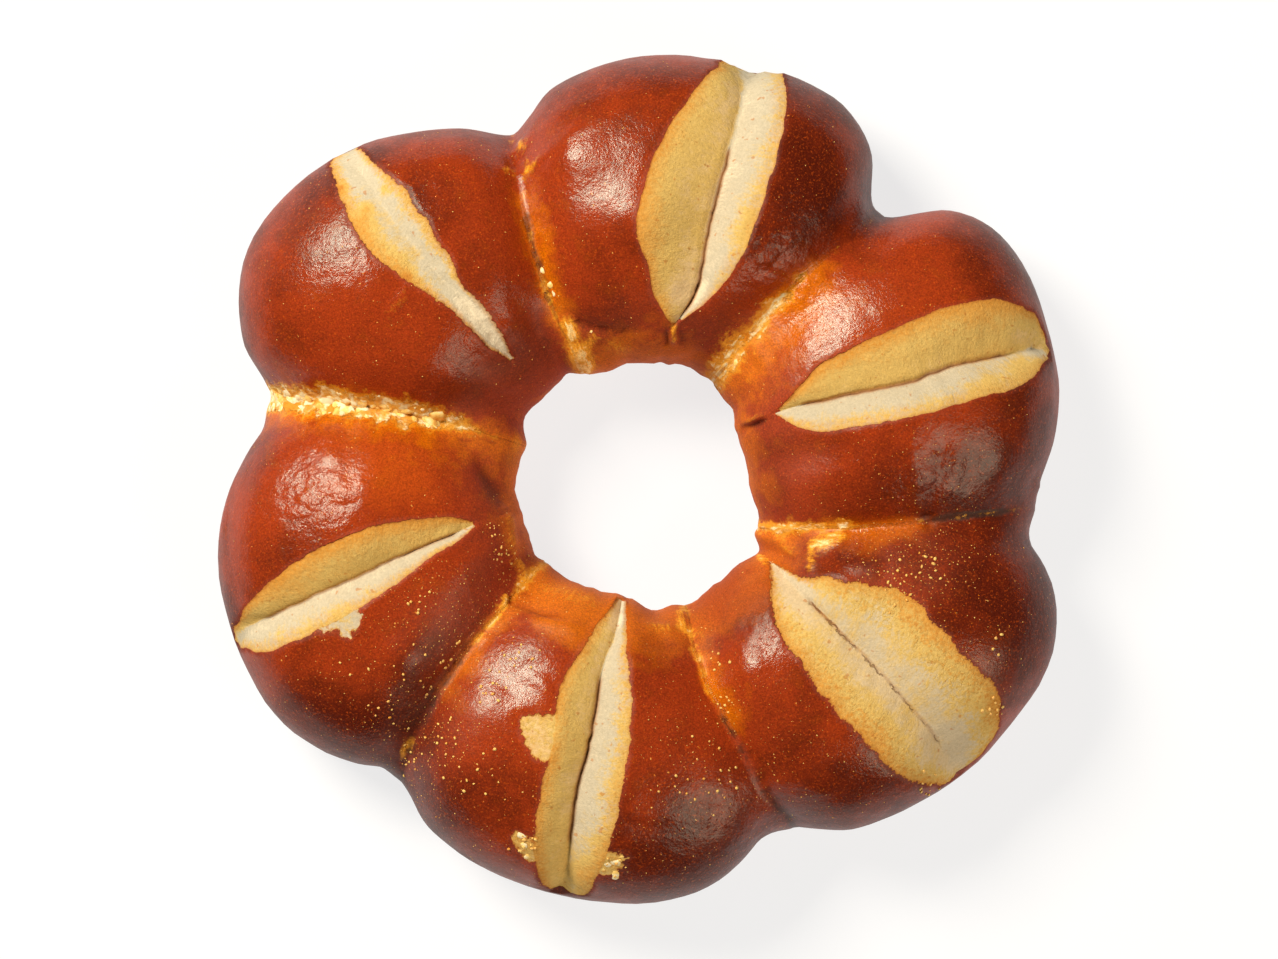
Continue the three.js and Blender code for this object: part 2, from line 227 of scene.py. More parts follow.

# pinches and folds of the skin: from x, y to x, y, width, height and how much paler; below zero the tone
# paints shade into the fold's crease
folds = [
    (25.5, 12.2, 31.8, 14.6, 1, -1.1, -0.5), (26.5, 13.8, 31.4, 16.4, 1, 0.7, 0.4),
    (29, 33.5, 31.5, 28, 1.2, 0.9, 0.1), (27.5, 27, 27.8, 23.5, 0.7, 0.8, 0.5),
    (38, 42, 47, 50, 2.2, 0.4, 0), (66, 14, 70, -9, 2.2, 0.6, 0), (76, 12, 72, -8, 1.6, -0.5, 0),
    (80, 10, 77, -6, 1.8, 0.4, 0), (70, -8, 73, -11, 1.5, -1, -0.5), (58, 40, 66, 46, 2, 0.4, 0),
    (98, -1, 102, -3.5, 1.4, 0.8, 0),
    # where the first roll meets the sixth by the hole
    (29, -11.2, 34, -12.4, 0.8, 0.7, 1.2), (33.5, -12.4, 42.4, -12, 0.8, 0.8, 1.3),
    (41.5, -17.5, 52, -13, 1.6, 0.8, 1.3), (34.5, -12.8, 50, -10.8, 0.9, 0.5, 1.3),
    (30.5, -15.5, 39, -20.5, 1.3, -0.8, -0.2), (34, -13.5, 38.5, -19, 1.6, 0.8, 0.5),
    (43, -18, 42, -23, 1.1, 0.7, 0.7), (48, -18.5, 60, -23, 2.5, 0.8, -0.3),
    (29.5, -18.5, 32.5, -21, 1, 0.6, 0.9), (20, -38, 27, -34, 1.6, 0.6, 0.1),
    (28, -36, 36, -43, 3, 0.3, 0),
    # where the sixth roll meets the fifth
    (10.5, -32, 11.5, -39, 0.9, 0.7, 1), (2, -36.5, 10.5, -38, 1.4, 1, 0.5),
    (14, -37, 17, -41, 1.6, 0.9, 0.3), (12, -40.5, 22, -42, 1.4, -0.8, -0.3),
    (1, -40, 10, -41, 1.3, -0.6, -0.2),
    # the fifth roll's folds by the hole
    (-33, -29, -18, -34.5, 1.3, -1.5, -0.6), (-31.5, -32.5, -12, -38, 1.9, 0.9, 0.1),
    (-26, -47, -21, -53.5, 1.2, 0.6, 0), (-26, -26, -8, -31.5, 2.2, 0.6, 0.4),
    (-32.3, -28, -33.8, -32.8, 0.9, 1.3, 1.2), (-33.8, -32.8, -37.8, -38, 0.9, 1.2, 1.2),
    (-37.8, -38, -41.2, -41.2, 0.9, 0.9, 0.9), (-5, -85, 9, -86, 1.6, -0.4, 0),
    # the fourth roll
    (-82, 18, -72, -2, 2.5, 0.35, 0), (-74, 6, -68, -12, 1.5, -0.3, 0), (-66, 12, -63, 0, 1.8, 0.3, 0),
    (-39, 7, -33, -7, 2.4, -1.2, -0.6), (-85, 2, -72, -10, 1.2, -0.3, 0), (-82, -2, -71, -16, 1, 0.3, 0),
    (-87, -6, -75, -17, 1.3, -0.25, 0), (-74, 4, -70, -8, 1, 0.35, 0), (-80, 14, -78, 2, 0.9, -0.25, 0),
    (-32.9, -8.5, -31, -13.3, 1.3, 0.9, 0.5), (-31, -13.3, -32, -18.5, 1.3, 0.9, 0.5),
    (-32, -18.5, -27.3, -26, 1.4, 1, 0.6), (-30, -26.5, -26, -29, 1, -0.9, -0.6),
    # the third and the second
    (-55.5, 47, -62, 40, 1.2, 0.7, 0.3), (-33, 40, -38, 22, 3, 0.5, 0), (-40, 18, -30, 12, 2, 0.5, 0),
    (-30, 88, -12, 93, 1.6, 0.35, 0), (-26, 80, -4, 91, 1.5, 0.3, 0), (-28, 84, -31, 80, 1, 0.9, 0.3),
    (-15, 42, -2, 41, 4, 0.2, -0.1), (-16, 39.3, -12, 37.6, 0.8, -0.8, -0.2),
    (-12, 37.6, -6.4, 36.4, 0.8, -0.9, -0.2), (-6.4, 36.4, -2, 37.2, 0.8, -0.6, -0.15),
    (-14, 36.6, -9, 34.3, 1.4, 0.8, 0.65), (-9, 34.3, -1, 32, 1.8, 0.7, 0.5),
    (19.5, 30.5, 25, 38.5, 2, 0.3, 0.6), (30, 46, 40, 56, 1.5, 0.5, 0), (34, 44, 43, 53, 1.4, -0.5, 0),
    # the dark end of the torn seam, painted shade in its groove
    (-45, 9.6, -38, 10, 0.8, -0.9, -1.1), (-38, 10, -34, 8.3, 0.8, -0.8, -1),
    # round the tip of the second roll's score
    (6.8, 37, 7, 33, 0.7, -0.8, -0.7), (8.7, 39, 9.2, 34, 0.8, 0.9, 0.8),
    (10.2, 37, 11, 33, 0.6, -0.5, -0.4), (3.2, 36, 4, 34, 1.5, 0.7, 0),
    (-18.6, 40, -15.5, 34, 1.5, 0.9, 1.7), (-16, 34, -12.5, 26, 2.6, 0.9, 1.8),
    # the golden pinches at the outer ends of two seams
    (-28.5, 86, -28.1, 80, 1, 0.8, 0.5), (-33.5, 77.5, -29.5, 74, 0.9, 0.8, 0.6),
    (-24.5, 79, -28, 75, 0.8, 0.8, 0.6), (-28.2, 80, -28, 68, 0.7, 0.4, 0.7),
    (-55.5, -63.5, -59, -69.5, 1, 0.5, 1.1),
]

# places where the skin has peeled off beside a score: x, y, radius
peels = [
    (-25, -61.5, 4.4), (-23.5, -65.5, 3.6), (-19, -61.5, 5), (-6.8, -95, 3.3), (-4.8, -93.2, 2.4),
    (-28.2, -88.6, 2.7), (-27.6, -91.6, 3), (-73, -32.8, 4.2), (-70.8, -35, 2.8), (-77, -34.5, 3.4),
]

# where the crust is darker or lighter: partly baked tone, partly painted shade on parts the lamps light too
# brightly and painted light on parts they leave dim: x, y, radius, how much
bakeAndPaintedShades = [
    (62, -2, 18, 0.5), (88, -26, 24, 0.55), (46, -76, 20, 0.5), (10, -92, 22, 0.3), (42, 70, 17, 0.4),
    (-62, -60, 20, 0.35), (-16, 52, 13, 0.25), (-46, 30, 10, 0.3), (-42, 70, 16, 0.15),
    (62, 58, 16, -0.25), (-58, 4, 20, -0.5), (-38, -52, 16, -0.35), (-24, 62, 14, -0.3),
    (-75, 32, 16, -0.2), (26, -52, 14, -0.25), (-4, 90, 16, -0.15), (-88, -4, 14, -0.2),
    (10, -56, 12, -0.2), (24, -29, 12, 0.5), (32, 6, 9, 0.45), (-60, 62, 26, 0.15), (-55, -38, 12, 0.1),
    (-44, -80, 14, 0.4), (-93, -22, 14, 0.15), (30, -34, 12, 0.3), (34, 61, 12, 0.5), (47, 48, 9, -0.45),
    (38, 36, 9, -0.45), (-8, -37, 6, 0.35), (-34, -8, 9, 0.1),
]

# dry webs of dough between the rolls, by the hole: x, y, radius, how much
webs = [(-31, 5, 4, 0.5), (-27, -13, 3, 0.4)]

# where the opened scores toasted or stayed pale, and where paler crumb is painted light on parts turned
# away from the key light: x, y, radius, how much
toastsAndPaintedLight = [
    (13, 100, 8, -0.3), (2.5, 62, 9, 0.3), (10, 48, 7, -0.35), (12, 84, 7, 0.1), (27, 63, 6, 0.3),
    (89, 44, 8, 0.3), (97, 37, 5, -0.4), (36, 20.5, 6, 0.15), (87, 25.5, 7, 0.4), (96, 29, 4, 0.6),
    (-90, -29, 8, 0.3), (-94, -31, 6, -0.35), (-5.6, -32, 6, -0.4), (-3.3, -76, 5, 0.35),
    (-14, -92, 8, 0.25), (-14.5, -98.5, 3.5, 0.9), (-70.5, 77, 7, -0.25), (-65.5, 59, 5, 0.35),
    (-58.7, 53.4, 4, 0.35), (-36, 38, 8, -0.8), (36, -25, 6, -0.5), (73, -38, 7, 0.4), (67, -29, 5, 0.4),
    (58, -65, 7, 0.45), (46, -53, 6, 0.35), (90, -56, 4, 0.9), (61, -47, 7, -0.15), (77, -66, 6, -0.25),
    (-73.4, 71.9, 1.2, 1.6), (-67, 66.6, 1.6, 1.1), (-62.6, 71.4, 1.2, 0.8), (-57, 49.6, 1.5, 1.5),
    (-68, 63, 2.5, 0.5), (-29.5, -90.5, 3, 0.8), (-5.4, -94.8, 5, 1), (-43, 41, 5, -0.4),
    (-72, -34, 4, 0.3),
]

# where the skin is finely rumpled: x, y, radius, how much
rumples = [
    (-78, -6, 12, 0.8), (70, -1, 14, 0.6), (20, -82, 14, 0.4), (-36, 36, 10, 0.5), (-72, 56, 12, 0.4),
    (42, 50, 10, 0.4), (46, 28, 10, 0.4), (-34, -38, 9, 0.4), (31, -38, 8, 0.6), (32, 55, 10, 0.8),
]

# crumbs that dust the crust: x, y, radius, how many in a hundred spots
dustings = [
    (62, 3, 26, 14), (72, -20, 12, 60), (60, -25, 9, 60), (86, -40, 20, 14), (40, -70, 28, 12),
    (12, -72, 24, 22), (-38, -76, 22, 18), (-62, -50, 26, 24), (-46, -36, 12, 60), (-30, -26, 9, 50),
    (-50, -64, 12, 40), (-60, 70, 40, 5), (5, 80, 40, 4), (-75, 10, 30, 5), (20, 45, 14, 6),
]


def softStep(value, low, high):
    t = np.clip((value - low) / (high - low), 0, 1)
    return t * t * (3 - 2 * t)


def between(value, first, last, fade):  # 1 between the two values, fading out beside them
    return softStep(value, first, first + fade) * softStep(-value, -last - fade, -last)


def unevenness(points, size, seed):  # smooth, about -1 to 1, over lumps of that size
    flat = points.reshape(-1, 3) / size + 31.7 * seed
    return np.array([noise.noise(point) for point in flat.tolist()]).reshape(points.shape[:-1]) * 1.4


def lumps(kind, points):
    height, size, seed = skin[kind]
    return height * unevenness(points, size, seed)


def crags(kind, points):  # lumps with finer lumps on them
    height, size, seed = skin[kind]
    return height * (unevenness(points, size, seed) + 0.5 * unevenness(points, size / 2.1, seed + 1))


def wander(distance, size, seed):  # the same for a line of the loaf
    line = np.stack([distance / size, np.full_like(distance, 0.5), np.full_like(distance, 0.5)], -1)
    return unevenness(line, 1, seed)


def lineOut(start, stop, near):
    first, last = math.hypot(*start), math.hypot(*stop)
    angles = [math.atan2(y, x) for x, y in (start, stop)]
    a, b = [t + math.tau * round((near - t) / math.tau) for t in angles]

    def angleAt(radius):
        share = np.clip((radius - first) / (last - first), -0.1, 1.05)
        return a + (b - a) * share

    return angleAt


def seamLine(seam, near, seed):
    straight = lineOut(seam["inner"], seam["outer"], near)
    first, last = math.hypot(*seam["inner"]), math.hypot(*seam["outer"])

    def angleAt(radius):
        drift = alongScore(seam["bow"], (radius - first) / (last - first), seamStations)
        wandering = dough["seamWander"] * softStep(radius, *skin["seamsWander"])
        drift = drift + wandering * wander(radius, 6, seed)
        return straight(radius) + drift / radius

    return angleAt


def alongScore(values, share, places):  # a smooth curve through the values at those places
    values, places = np.array(values, float), np.array(places)
    t = np.clip(share, 0, 1)
    k = np.clip(np.searchsorted(places, t, "right") - 1, 0, len(places) - 2)
    gap = places[k + 1] - places[k]
    slopes = np.gradient(values, places)
    s = (t - places[k]) / gap
    rise = s * s * (3 - 2 * s)
    bend = s * (1 - s) * gap * (slopes[k] * (1 - s) - slopes[k + 1] * s)
    return values[k] + (values[k + 1] - values[k]) * rise + bend


def domeFill(plan, height, z):
    belly = dough["bellyShare"] * height
    half = np.where(z > belly, height - belly, dough["undersideShare"] * belly)
    return np.abs(plan) ** dough["domePower"] + np.abs((z - belly) / half) ** dough["domePower"]


def rollFill(roll, x, y, z):
    c, s = math.cos(math.radians(roll["angle"])), math.sin(math.radians(roll["angle"]))
    u = x * c + y * s - roll["reach"]
    v = y * c - x * s - roll["lean"] * u
    along = np.abs(u / np.where(u > 0, roll["outward"], roll["inward"]))
    across = np.abs(v / (roll["across"] * (1 + roll["taper"] * u / dough["taperLength"])))
    power = dough["planPower"]
    return domeFill((along ** power + across ** power) ** (1 / power), roll["height"], z)


def seamFill(seam, radius, z):
    inner, outer = math.hypot(*seam["inner"]), math.hypot(*seam["outer"])
    middle = (inner + outer) / 2
    return domeFill((radius - middle) / (outer - middle), seam["height"], z)


def reachOf(fill, phi):  # how far the dough reaches from the ring's core, at each slope
    inside, outside = np.zeros_like(phi), np.full_like(phi, dough["farthestReach"])
    for halving in range(grid["halvings"]):
        middle = (inside + outside) / 2
        radius = dough["coreRadius"] + middle * np.cos(phi)
        filled = fill(radius, dough["coreHeight"] + middle * np.sin(phi)) < 1
        inside, outside = np.where(filled, middle, inside), np.where(filled, outside, middle)
    return inside


def rollReach(roll, theta, phi):
    return reachOf(lambda r, z: rollFill(roll, r * np.cos(theta), r * np.sin(theta), z), phi)


def drawnBack(theta, phi):
    depth = np.zeros_like(theta)
    for middle, wide, amount in bays:
        away = (np.degrees(theta) - middle + 180) % 360 - 180
        depth = depth + amount * np.exp(-(away / wide) ** 2)
    return depth * softStep(phi, 1.7, 2.7) * softStep(phi, 5, 4)


def restOnBase(reach, phi):
    down = np.maximum(-np.sin(phi), 0.05)
    flat = dough["coreHeight"] / down
    overlap = np.maximum(1 - np.abs(reach - flat) / dough["baseRounding"], 0)
    rested = np.minimum(reach, flat) - overlap ** 2 * dough["baseRounding"] / 4
    return np.where(np.sin(phi) > -0.05, reach, rested)


def rowSlopes():
    sweep = math.pi - 2 * grid["baseEdge"]
    over = grid["baseEdge"] + sweep * np.arange(grid["shown"]) / grid["shown"]
    under = np.arange(grid["under"]) / grid["under"]
    return np.concatenate([over, grid["baseEdge"] + sweep + (math.tau - sweep) * under])


def distancesAlong(roll, crease, phi):  # from the axis, measured along the skin down the outer wall
    top = phi[:grid["shown"] + 1]
    theta = np.full_like(top, crease(dough["coreRadius"]))
    reach = rollReach(roll, theta, top) - drawnBack(theta, top)
    radius = dough["coreRadius"] + reach * np.cos(top)
    z = dough["coreHeight"] + reach * np.sin(top)
    outwards = radius[:-1] - radius[1:]
    wall = top[:-1] < math.pi / 8
    step = np.where(wall, np.hypot(outwards, z[:-1] - z[1:]), outwards)
    upper = radius[-1] + np.cumsum(step[::-1])[::-1]
    return np.concatenate([upper, radius[-1:], np.zeros(len(phi) - len(top))])


def scoreAt(score, distance, seed):
    start, stop = math.hypot(*score["tip"]), math.hypot(*score["end"])
    share = (distance - start) / (stop - start)
    past = np.clip((distance - stop) / score["overhang"], 0, 1)
    closing = np.where(share < 0, 0, np.sqrt(1 - past ** 2))
    places = score.get("stations", stations)
    cut = {side: alongScore(score[side], share, places) for side in ("bow", "left", "right")}
    cut["share"], cut["distance"] = share, distance
    for line, side in ((seed, "left"), (seed + 7, "right")):
        cut[side] = cut[side] * closing
        ragged = score["ragged"] * (0.9 * wander(distance, 5, line) + 0.5 * wander(distance, 1.7, line + 1))
        cut[side + "Lip"] = cut[side] + ragged * np.clip(cut[side] / 2, 0, 1)
    cut["bow"] = cut["bow"] + 0.25 * wander(distance, 3, seed + 20) * np.clip(cut["left"] / 4, 0, 1)
    return cut


def scoreDepth(score, cut, across):
    left, right = cut["left"], cut["right"]
    half = np.maximum(np.where(across > 0, left, right), 0.05)
    beyond = np.abs(across) - half
    deepest = score["depthShare"] * (left + right) / 2
    inside = deepest * np.clip(-beyond / half, 0, 1) ** score["power"]
    lift = dough["lipLift"] * np.exp(-np.maximum(beyond, 0) / dough["lipLiftWidth"])
    first, last, depth, width = score["crack"]
    along = between(cut["share"], first, last, 0.06)
    opened = np.clip((left + right) / 3, 0, 1)
    crack = depth * along * np.exp(-(across / width) ** 2)
    side = across * np.sign(score["overlap"])
    overlap = abs(score["overlap"]) * along * np.exp(-np.maximum(side, 0) / 2.5) * (side > 0)
    return (inside + crack - overlap - lift) * opened, along * opened


def foldedSkin(x, y):
    height, paler = np.zeros_like(x), np.zeros_like(x)
    for startX, startY, stopX, stopY, width, rise, tone in folds:
        dx, dy = stopX - startX, stopY - startY
        along = np.clip(((x - startX) * dx + (y - startY) * dy) / (dx * dx + dy * dy), 0, 1)
        away = np.hypot(x - startX - along * dx, y - startY - along * dy)
        crest = np.clip(1 - (2 * along - 1) ** 4, 0, 1) * np.exp(-(away / width) ** 2)
        height, paler = height + rise * crest, paler + tone * crest
    return height, paler


def clouded(x, y, clouds):
    total = np.zeros_like(x)
    for middleX, middleY, radius, amount in clouds:
        away = (x - middleX) ** 2 + (y - middleY) ** 2
        total += amount * np.exp(-away / radius ** 2)
    return total


def spotted(x, y, spots, edge):  # deepest distance inside any of the round spots
    inside = np.full_like(x, outsideAll)
    for middleX, middleY, radius in spots:
        inside = np.maximum(inside, radius - np.hypot(x - middleX, y - middleY) + edge)
    return inside


def columnShares():
    parts = [grid["toLip"], grid["toCrease"], grid["toCrease"], grid["toLip"]]
    return [(k, step / count) for k, count in enumerate(parts) for step in range(count)]


def layColumns(phi):
    shares = columnShares()
    part, even = np.array(shares).T[:, :, None]
    part = part.astype(int)
    share = even - grid["crowding"] * np.sin(math.tau * even) / math.tau
    fromSeam = np.where(part == 3, 1 - even, even)  # flanks by a seam stand almost along the rays
    flank = grid["flank"] * softStep(np.sin(phi), 0.9, 0.3) * np.isin(part, (0, 3))
    steep = np.where(part == 3, 1 - fromSeam ** 2, fromSeam ** 2)
    share = share + (steep - share) * flank
    order = np.arange(len(shares))[:, None] / len(shares)  # columns spread evenly over the outer side
    order = order - 0.5 * np.sin(math.tau * order) / math.tau
    spread = softStep(np.sin(phi), 0.5, 0.1) * softStep(np.cos(phi), -0.5, 0.5)
    return part, share, order, spread


def columnAngles(lines, columns):  # lines: seam, lip, crease, lip and seam
    part, share, order, spread = columns
    chosen = part[None] + np.zeros_like(lines[:1], int)
    low = np.take_along_axis(lines, chosen, 0)[0]
    high = np.take_along_axis(lines, chosen + 1, 0)[0]
    theta = low + (high - low) * share
    return theta + (lines[0] + (lines[4] - lines[0]) * order - theta) * spread


def sunkAtSeams(reach, slope, joints, toSeams):
    for seam, away in zip(joints, toSeams):
        sunk = reachOf(lambda r, z: seamFill(seam, r, z), slope) - reach
        rounding = dough["webRounding"]
        web = np.maximum(1 - (np.hypot(away, rounding) - rounding) / dough["webWidth"], 0)
        valley = np.maximum(1 - away / dough["valleyWidth"], 0)
        reach = reach + sunk * np.where(sunk > 0, web, valley) ** 2
    return reach


def creasedAt(radius, joints, toSeams):
    creased = 0
    for seam, away in zip(joints, toSeams):
        first, last = seam["crease"]
        along = softStep(radius, first - 5, first + 4) * softStep(-radius, -last - 6, -last + 4)
        creased = creased + along * np.exp(-away / dough["slitWidth"])
    return creased


def pressedSeams(reach, radius, slope, joints, toSeams, seed):  # grooves, creases and overlaps
    closed = softStep(radius, *skin["seamsClose"]) * softStep(np.sin(slope), 0.2, 0.7)
    groove = dough["grooveDepth"] * np.exp(-np.minimum(*toSeams) / dough["grooveWidth"])
    reach = reach - groove * (0.4 + 0.6 * closed)
    gaping = np.clip(0.55 + 0.9 * wander(radius, 8, seed), 0.15, 1)
    creased = creasedAt(radius, joints, toSeams)
    reach = reach - dough["slitDepth"] * creased * closed * gaping
    for seam, away, side in zip(joints, toSeams, (1, -1)):
        lying = np.maximum(seam["over"] * side, 0) * closed
        reach = reach + dough["overLift"] * lying * np.exp(-(away / dough["overWidth"]) ** 2)
    return reach, creased


def skinRelief(points, theta, slope, folded, bare):
    crust = softStep(bare, 0.2, -0.5)
    z = points[..., 2]
    relief = (lumps("swelling", points) + lumps("dimples", points)) * crust
    relief = relief + folded * softStep(z, *skin["foldsRise"]) * crust
    inward = softStep(slope, 1.9, 2.5) * softStep(slope, 3.7, 3.2)
    puckers = np.stack([theta * dough["coreRadius"] / 6, z / 22, theta * 0 + 7], -1)
    relief = relief + inward * lumps("puckers", puckers)
    relief = relief - skin["lipStep"] * softStep(bare, -0.1, 0.45)
    return relief + (1 - crust) * crags("scoreWall", points)


def tornRelief(points, alongSeam, tear, lumpy):
    crumbly = crags("tornCrumb", points) + crags("tornGrain", points) - 0.4
    stretched = lumps("tornStrands", alongSeam)
    torn = softStep(tear, -0.3, 0.5)
    return torn * (stretched + (crumbly - stretched) * np.clip(1.3 * lumpy, 0, 1))


def rollSurface(k, phi):
    roll, score = rolls[k], scores[k]
    middle, halfRoll = math.radians(roll["angle"]), math.pi / len(rolls)
    crease = lineOut(score["tip"], score["end"], middle)
    joints = [seams[k - 1], seams[k]]
    ends = [
        seamLine(seam, middle + side * halfRoll, 60 + seams.index(seam))
        for seam, side in zip(joints, (-1, 1))
    ]
    cut = scoreAt(score, distancesAlong(roll, crease, phi), 100 + 40 * k)
    columns = layColumns(phi)
    radius = np.full((len(columns[0]), len(phi)), float(dough["coreRadius"]))
    slope = np.broadcast_to(phi, radius.shape)
    least = dough["leastHalfWidth"]
    for settling in range(grid["settlings"]):  # the radius and the angle depend on each other
        crossing = crease(radius) + cut["bow"] / radius
        theta = columnAngles(np.stack([
            ends[0](radius),
            crossing - np.maximum(cut["rightLip"], least) / radius,
            crossing,
            crossing + np.maximum(cut["leftLip"], least) / radius,
            ends[1](radius),
        ]), columns)
        toSeams = [(theta - ends[0](radius)) * radius, (ends[1](radius) - theta) * radius]
        reach = sunkAtSeams(rollReach(roll, theta, slope), slope, joints, toSeams)
        reach = restOnBase(reach - drawnBack(theta, slope), slope)
        reach, creased = pressedSeams(reach, radius, slope, joints, toSeams, 80 + k)
        swell = clouded(radius * np.cos(theta), radius * np.sin(theta), swells)
        reach = reach + swell * softStep(np.sin(slope), 0.1, 0.7)
        across = (theta - crossing) * radius
        depth, cracked = scoreDepth(score, cut, across)
        reach = reach - depth
        radius = dough["coreRadius"] + reach * np.cos(slope)
    x, y = radius * np.cos(theta), radius * np.sin(theta)
    z = dough["coreHeight"] + reach * np.sin(slope)
    points, nearest = np.stack([x, y, z], -1), np.minimum(*toSeams)

    # where the skin is opened, peeled off or torn, in millimetres inside the edge
    lipWidth = np.where(across > 0, cut["leftLip"], cut["rightLip"])
    lip = np.where(lipWidth > 0.3, lipWidth - np.abs(across), outsideAll)
    peel = spotted(x, y, peels, crags("peelEdge", points))
    peel = np.where(z > skin["peelAbove"], peel, outsideAll)
    bare = np.maximum(lip, peel)
    tears = [np.interp(radius, seam["tearAt"], seam["tear"]) - away for seam, away in zip(joints, toSeams)]
    tear = np.maximum(*tears) + crags("tearEdge", points) - 0.5
    tear = np.where(z > skin["tearAbove"], tear, tear - (skin["tearAbove"] - z) * 0.4)
    lumpy = sum(seam["lumpy"] * np.exp(-(away / 8) ** 2) for seam, away in zip(joints, toSeams))

    folded, paler = foldedSkin(x, y)
    relief = skinRelief(points, theta, slope, folded, bare)
    alongSeam = np.stack([nearest / 1.5, radius / 6, z * 0 + k], -1)
    relief = relief + tornRelief(points, alongSeam, tear, lumpy)
    reach = reach + relief * softStep(z, *skin["reliefRises"])
    radius = dough["coreRadius"] + reach * np.cos(slope)
    z = np.maximum(dough["coreHeight"] + reach * np.sin(slope), 0)
    points = np.stack([radius * np.cos(theta), radius * np.sin(theta), z], -1)

    # what the finishes read
    glow = softStep(radius, roll["paleUntil"] + 3, roll["paleUntil"] - 13)
    for seam, away, side in zip(joints, toSeams, (1, 0)):
        spread, until = seam["glow"][side], seam["glow"][2]
        paling = np.exp(-(away / spread) ** 1.5) * softStep(radius, until + 8, until - 12)
        glow = np.maximum(glow, paling)
    matte = np.maximum(softStep(slope, 2.0, 2.7), 0.45 * softStep(slope, 0.8, 0.1))
    toastAndPaintedShade, crack = score["toastAndPaintedShade"], score["crack"]
    marks = {
        "lip": lip, "peel": peel, "tear": tear, "glow": glow, "seam": nearest, "across": across,
        "along": cut["distance"] + 200 * k + np.zeros_like(across),
        "wall": np.clip(np.abs(across) / np.maximum(lipWidth, 0.3), 0, 1),
        "toastAndPaintedShade": softStep(across, -0.4, 0.4) * (toastAndPaintedShade[0] - toastAndPaintedShade[1]) + toastAndPaintedShade[1],
        "crack": min(4 * crack[2], 1) * cracked * np.exp(-(across / (0.35 + 0.75 * crack[3])) ** 2),
        "split": 0 * z + cracked * (crack[2] > 1), "ragged": 0 * z + score["ragged"],
        "outer": softStep(slope, math.pi / 2, 0) * softStep(slope, -0.6, 0),
        "matte": np.maximum(matte, 0.8 * np.minimum(creased, 1)), "paintedCreaseShadow": creased,
        "gather": softStep(radius, *skin["gathersBegin"]), "dust": 0.04 + clouded(x, y, dustings) / 100,
        # shade: baked tone with painted shade and painted light from the table, and painted shade in the
        # creases of the folds
        "bakeAndPaintedShade": clouded(x, y, bakeAndPaintedShades) - 0.9 * np.minimum(paler, 0), "pale": paler,
        "lumpy": lumpy, "tanned": clouded(x, y, webs), "rumple": clouded(x, y, rumples),
        "browningAndPaintedLight": clouded(x, y, toastsAndPaintedLight),
        "web": np.exp(-(nearest / 4) ** 2) * softStep(radius, *skin["websBegin"])
        * softStep(z, *skin["websRise"]),
    }
    return points, marks


def makeLoaf():
    columns = len(rolls) * len(columnShares())
    rows = grid["shown"] + grid["under"]
    bpy.ops.object.select_all(action="DESELECT")
    bpy.ops.mesh.primitive_torus_add(
        major_segments=columns, minor_segments=rows, generate_uvs=False,
        major_radius=dough["coreRadius"] * mm, minor_radius=dough["coreHeight"] * mm,
    )
    loaf = bpy.context.object
    loaf.name = "pretzelLoaf"
    mesh = loaf.data
    flat = np.empty(len(mesh.vertices) * 3)
    mesh.vertices.foreach_get("co", flat)
    torus = flat.reshape(-1, 3)
    around = np.arctan2(torus[:, 1], torus[:, 0]) / math.tau * columns
    section = np.hypot(torus[:, 0], torus[:, 1]) - dough["coreRadius"] * mm
    turned = np.arctan2(torus[:, 2], section) / math.tau * rows
    # the torus tool makes at most 256 columns, and each takes the nearest one that is planned
    column, row = np.rint(around).astype(int) % columns, np.rint(turned).astype(int) % rows
    surfaces = [rollSurface(k, rowSlopes()) for k in range(len(rolls))]
    points = np.concatenate([points for points, marks in surfaces])
    mesh.vertices.foreach_set("co", (points[column, row] * mm).ravel())
    for name in surfaces[0][1]:
        values = np.concatenate([marks[name] for points, marks in surfaces])[column, row]
        mesh.attributes.new(name, "FLOAT", "POINT").data.foreach_set("value", values)
    mesh.update()
    bpy.ops.object.shade_smooth()
    return loaf


loaf = makeLoaf()
print("loaf shaped", len(loaf.data.vertices))

# the finishes: colours, how glossy the skin is and how rough the crumbs are
bake = {
    "lit": (0.49, 0.073, 0.006), "ember": (0.34, 0.052, 0.001), "crust": (0.29, 0.032, 0.0055),
    "dark": (0.085, 0.009, 0.0025), "amber": (0.56, 0.125, 0.001), "web": (0.76, 0.3, 0.015),
    "tanned": (0.36, 0.13, 0.012), "paintedCreaseShadow": (0.05, 0.009, 0.003), "base": (0.3, 0.1, 0.025),
    "cream": (0.535, 0.455, 0.31), "straw": (0.705, 0.49, 0.235), "flour": (0.74, 0.62, 0.42),
    "tan": (0.655, 0.43, 0.12), "golden": (0.62, 0.31, 0.06), "singed": (0.45, 0.15, 0.02),
    "rim": (0.58, 0.235, 0.028), "shadow": (0.33, 0.11, 0.015), "burnt": (0.15, 0.05, 0.012),
    "tornLow": (0.72, 0.28, 0.02), "tornGold": (0.88, 0.58, 0.15), "tornHigh": (0.92, 0.66, 0.27),
    "ivory": (0.89, 0.75, 0.45), "spot": (0.8, 0.42, 0.1),
    "gloss": 0.3, "glossTint": (0.76, 1, 0.88, 1), "crumbRough": 0.75,
}
bench = {}  # the finish that is being made: its nodes, its shader and the piece's own coordinates


def startFinish(name):
    material = bpy.data.materials.new(name)
    material.use_nodes = True
    bench["tree"] = material.node_tree
    bench["shader"] = material.node_tree.nodes["Principled BSDF"]
    bench["where"] = place("TexCoord").outputs["Object"]
    return material


def place(kind, sockets=(), **settings):
    node = bench["tree"].nodes.new("ShaderNode" + kind)
    for name, value in settings.items():
        setattr(node, name, value)
    feed(node, dict(sockets))
    return node


